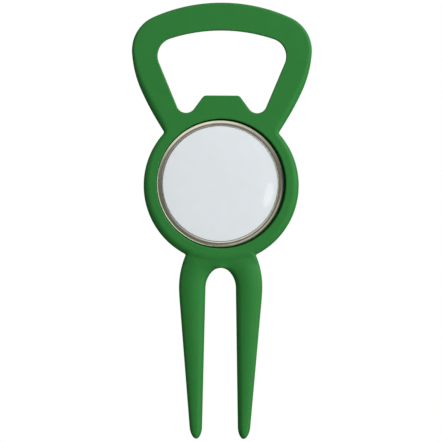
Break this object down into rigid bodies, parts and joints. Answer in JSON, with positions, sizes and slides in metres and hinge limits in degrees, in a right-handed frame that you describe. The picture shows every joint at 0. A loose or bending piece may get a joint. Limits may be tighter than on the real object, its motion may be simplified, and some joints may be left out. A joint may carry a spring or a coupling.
{
  "type": "divot repair tool",
  "caption": "Metal golf divot repair tool with a pronged fork, a bottle-opener head and a magnetic ball marker that lifts out of a round seat.",
  "frame": {"origin": "on the axis of the marker's seat, in the plane of the tool's flat back", "axes": "+Z out of the tool's face, +Y from the seat towards the opener head, +X to the right with the face towards the viewer and the head up"},
  "size_m": [0.036, 0.0872, 0.0045],
  "materials": {
    "green_coat": "satin green coating on a zinc casting",
    "magnet_plating": "bright plating",
    "cured_glue": "cured epoxy glue",
    "nickel_plate": "polished nickel plate on a steel blank",
    "white_label": "plain white vinyl",
    "clear_dome": "clear glossy epoxy dome"
  },
  "bodies": {
    "tool": {"tool_body": "green_coat", "magnet": "magnet_plating", "magnet_adhesive": "cured_glue"},
    "marker": {"marker_coin": "nickel_plate", "marker_label": "white_label", "marker_dome": "clear_dome"}
  },
  "joints": [
    {"name": "marker_lift", "type": "slide", "parent": "tool", "child": "marker", "axis": [0, 0, 1], "range_m": [0, 0.012]}
  ]
}
